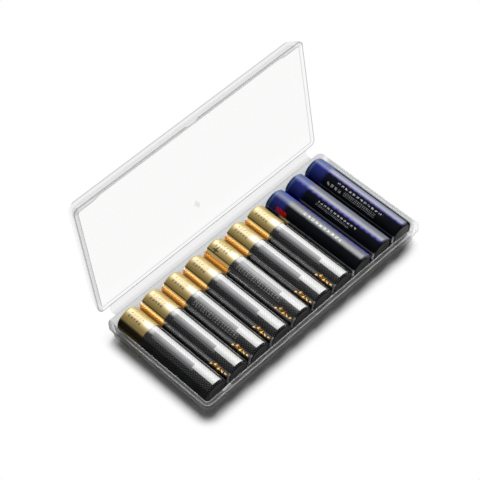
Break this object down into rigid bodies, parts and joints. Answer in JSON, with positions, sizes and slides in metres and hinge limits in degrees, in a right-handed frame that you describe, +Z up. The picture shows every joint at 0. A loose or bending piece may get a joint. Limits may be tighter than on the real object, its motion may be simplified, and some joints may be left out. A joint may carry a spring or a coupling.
{
  "type": "battery storage case",
  "caption": "Flat clear hinged box, shown open, that holds a row of AAA cells side by side; the lid swings on a flexible strap.",
  "frame": {"origin": "centre of the tray's flat underside", "axes": "+X along the row of cells, -Y towards the front edge where the lid shuts, +Y towards the hinge, +Z up"},
  "size_m": [0.1086, 0.0658, 0.059],
  "materials": {
    "clear_plastic": "clear",
    "cell_steel": "satin",
    "gold_black_sleeve": "metallic gold top over black",
    "blue_black_sleeve": "metallic blue top over black",
    "seal_plastic": "matte",
    "cell_filling": "matte"
  },
  "bodies": {
    "tray": {"tray": "clear_plastic", "living_hinge": "clear_plastic"},
    "lid": {"lid": "clear_plastic"},
    "cell_1": {"cell_1_can": "cell_steel", "cell_1_sleeve": "gold_black_sleeve", "cell_1_base_cap": "cell_steel", "cell_1_seal": "seal_plastic", "cell_1_core": "cell_filling"},
    "cell_2": {"cell_2_can": "cell_steel", "cell_2_sleeve": "gold_black_sleeve", "cell_2_base_cap": "cell_steel", "cell_2_seal": "seal_plastic", "cell_2_core": "cell_filling"},
    "cell_3": {"cell_3_can": "cell_steel", "cell_3_sleeve": "gold_black_sleeve", "cell_3_base_cap": "cell_steel", "cell_3_seal": "seal_plastic", "cell_3_core": "cell_filling"},
    "cell_4": {"cell_4_can": "cell_steel", "cell_4_sleeve": "gold_black_sleeve", "cell_4_base_cap": "cell_steel", "cell_4_seal": "seal_plastic", "cell_4_core": "cell_filling"},
    "cell_5": {"cell_5_can": "cell_steel", "cell_5_sleeve": "gold_black_sleeve", "cell_5_base_cap": "cell_steel", "cell_5_seal": "seal_plastic", "cell_5_core": "cell_filling"},
    "cell_6": {"cell_6_can": "cell_steel", "cell_6_sleeve": "gold_black_sleeve", "cell_6_base_cap": "cell_steel", "cell_6_seal": "seal_plastic", "cell_6_core": "cell_filling"},
    "cell_7": {"cell_7_can": "cell_steel", "cell_7_sleeve": "gold_black_sleeve", "cell_7_base_cap": "cell_steel", "cell_7_seal": "seal_plastic", "cell_7_core": "cell_filling"},
    "cell_8": {"cell_8_can": "cell_steel", "cell_8_sleeve": "blue_black_sleeve", "cell_8_base_cap": "cell_steel", "cell_8_seal": "seal_plastic", "cell_8_core": "cell_filling"},
    "cell_9": {"cell_9_can": "cell_steel", "cell_9_sleeve": "blue_black_sleeve", "cell_9_base_cap": "cell_steel", "cell_9_seal": "seal_plastic", "cell_9_core": "cell_filling"},
    "cell_10": {"cell_10_can": "cell_steel", "cell_10_sleeve": "blue_black_sleeve", "cell_10_base_cap": "cell_steel", "cell_10_seal": "seal_plastic", "cell_10_core": "cell_filling"}
  },
  "joints": [
    {"name": "lid_hinge", "type": "hinge", "parent": "tray", "child": "lid", "pos_m": [0, 0.0272, 0.00775], "axis": [-1, 0, 0], "range_deg": [-99.7, 80.3], "deforming": ["living_hinge"]},
    {"name": "cell_1_lift", "type": "slide", "parent": "tray", "child": "cell_1", "axis": [0, 0, 1], "range_m": [0, 0.02]},
    {"name": "cell_2_lift", "type": "slide", "parent": "tray", "child": "cell_2", "axis": [0, 0, 1], "range_m": [0, 0.02]},
    {"name": "cell_3_lift", "type": "slide", "parent": "tray", "child": "cell_3", "axis": [0, 0, 1], "range_m": [0, 0.02]},
    {"name": "cell_4_lift", "type": "slide", "parent": "tray", "child": "cell_4", "axis": [0, 0, 1], "range_m": [0, 0.02]},
    {"name": "cell_5_lift", "type": "slide", "parent": "tray", "child": "cell_5", "axis": [0, 0, 1], "range_m": [0, 0.02]},
    {"name": "cell_6_lift", "type": "slide", "parent": "tray", "child": "cell_6", "axis": [0, 0, 1], "range_m": [0, 0.02]},
    {"name": "cell_7_lift", "type": "slide", "parent": "tray", "child": "cell_7", "axis": [0, 0, 1], "range_m": [0, 0.02]},
    {"name": "cell_8_lift", "type": "slide", "parent": "tray", "child": "cell_8", "axis": [0, 0, 1], "range_m": [0, 0.02]},
    {"name": "cell_9_lift", "type": "slide", "parent": "tray", "child": "cell_9", "axis": [0, 0, 1], "range_m": [0, 0.02]},
    {"name": "cell_10_lift", "type": "slide", "parent": "tray", "child": "cell_10", "axis": [0, 0, 1], "range_m": [0, 0.02]}
  ]
}
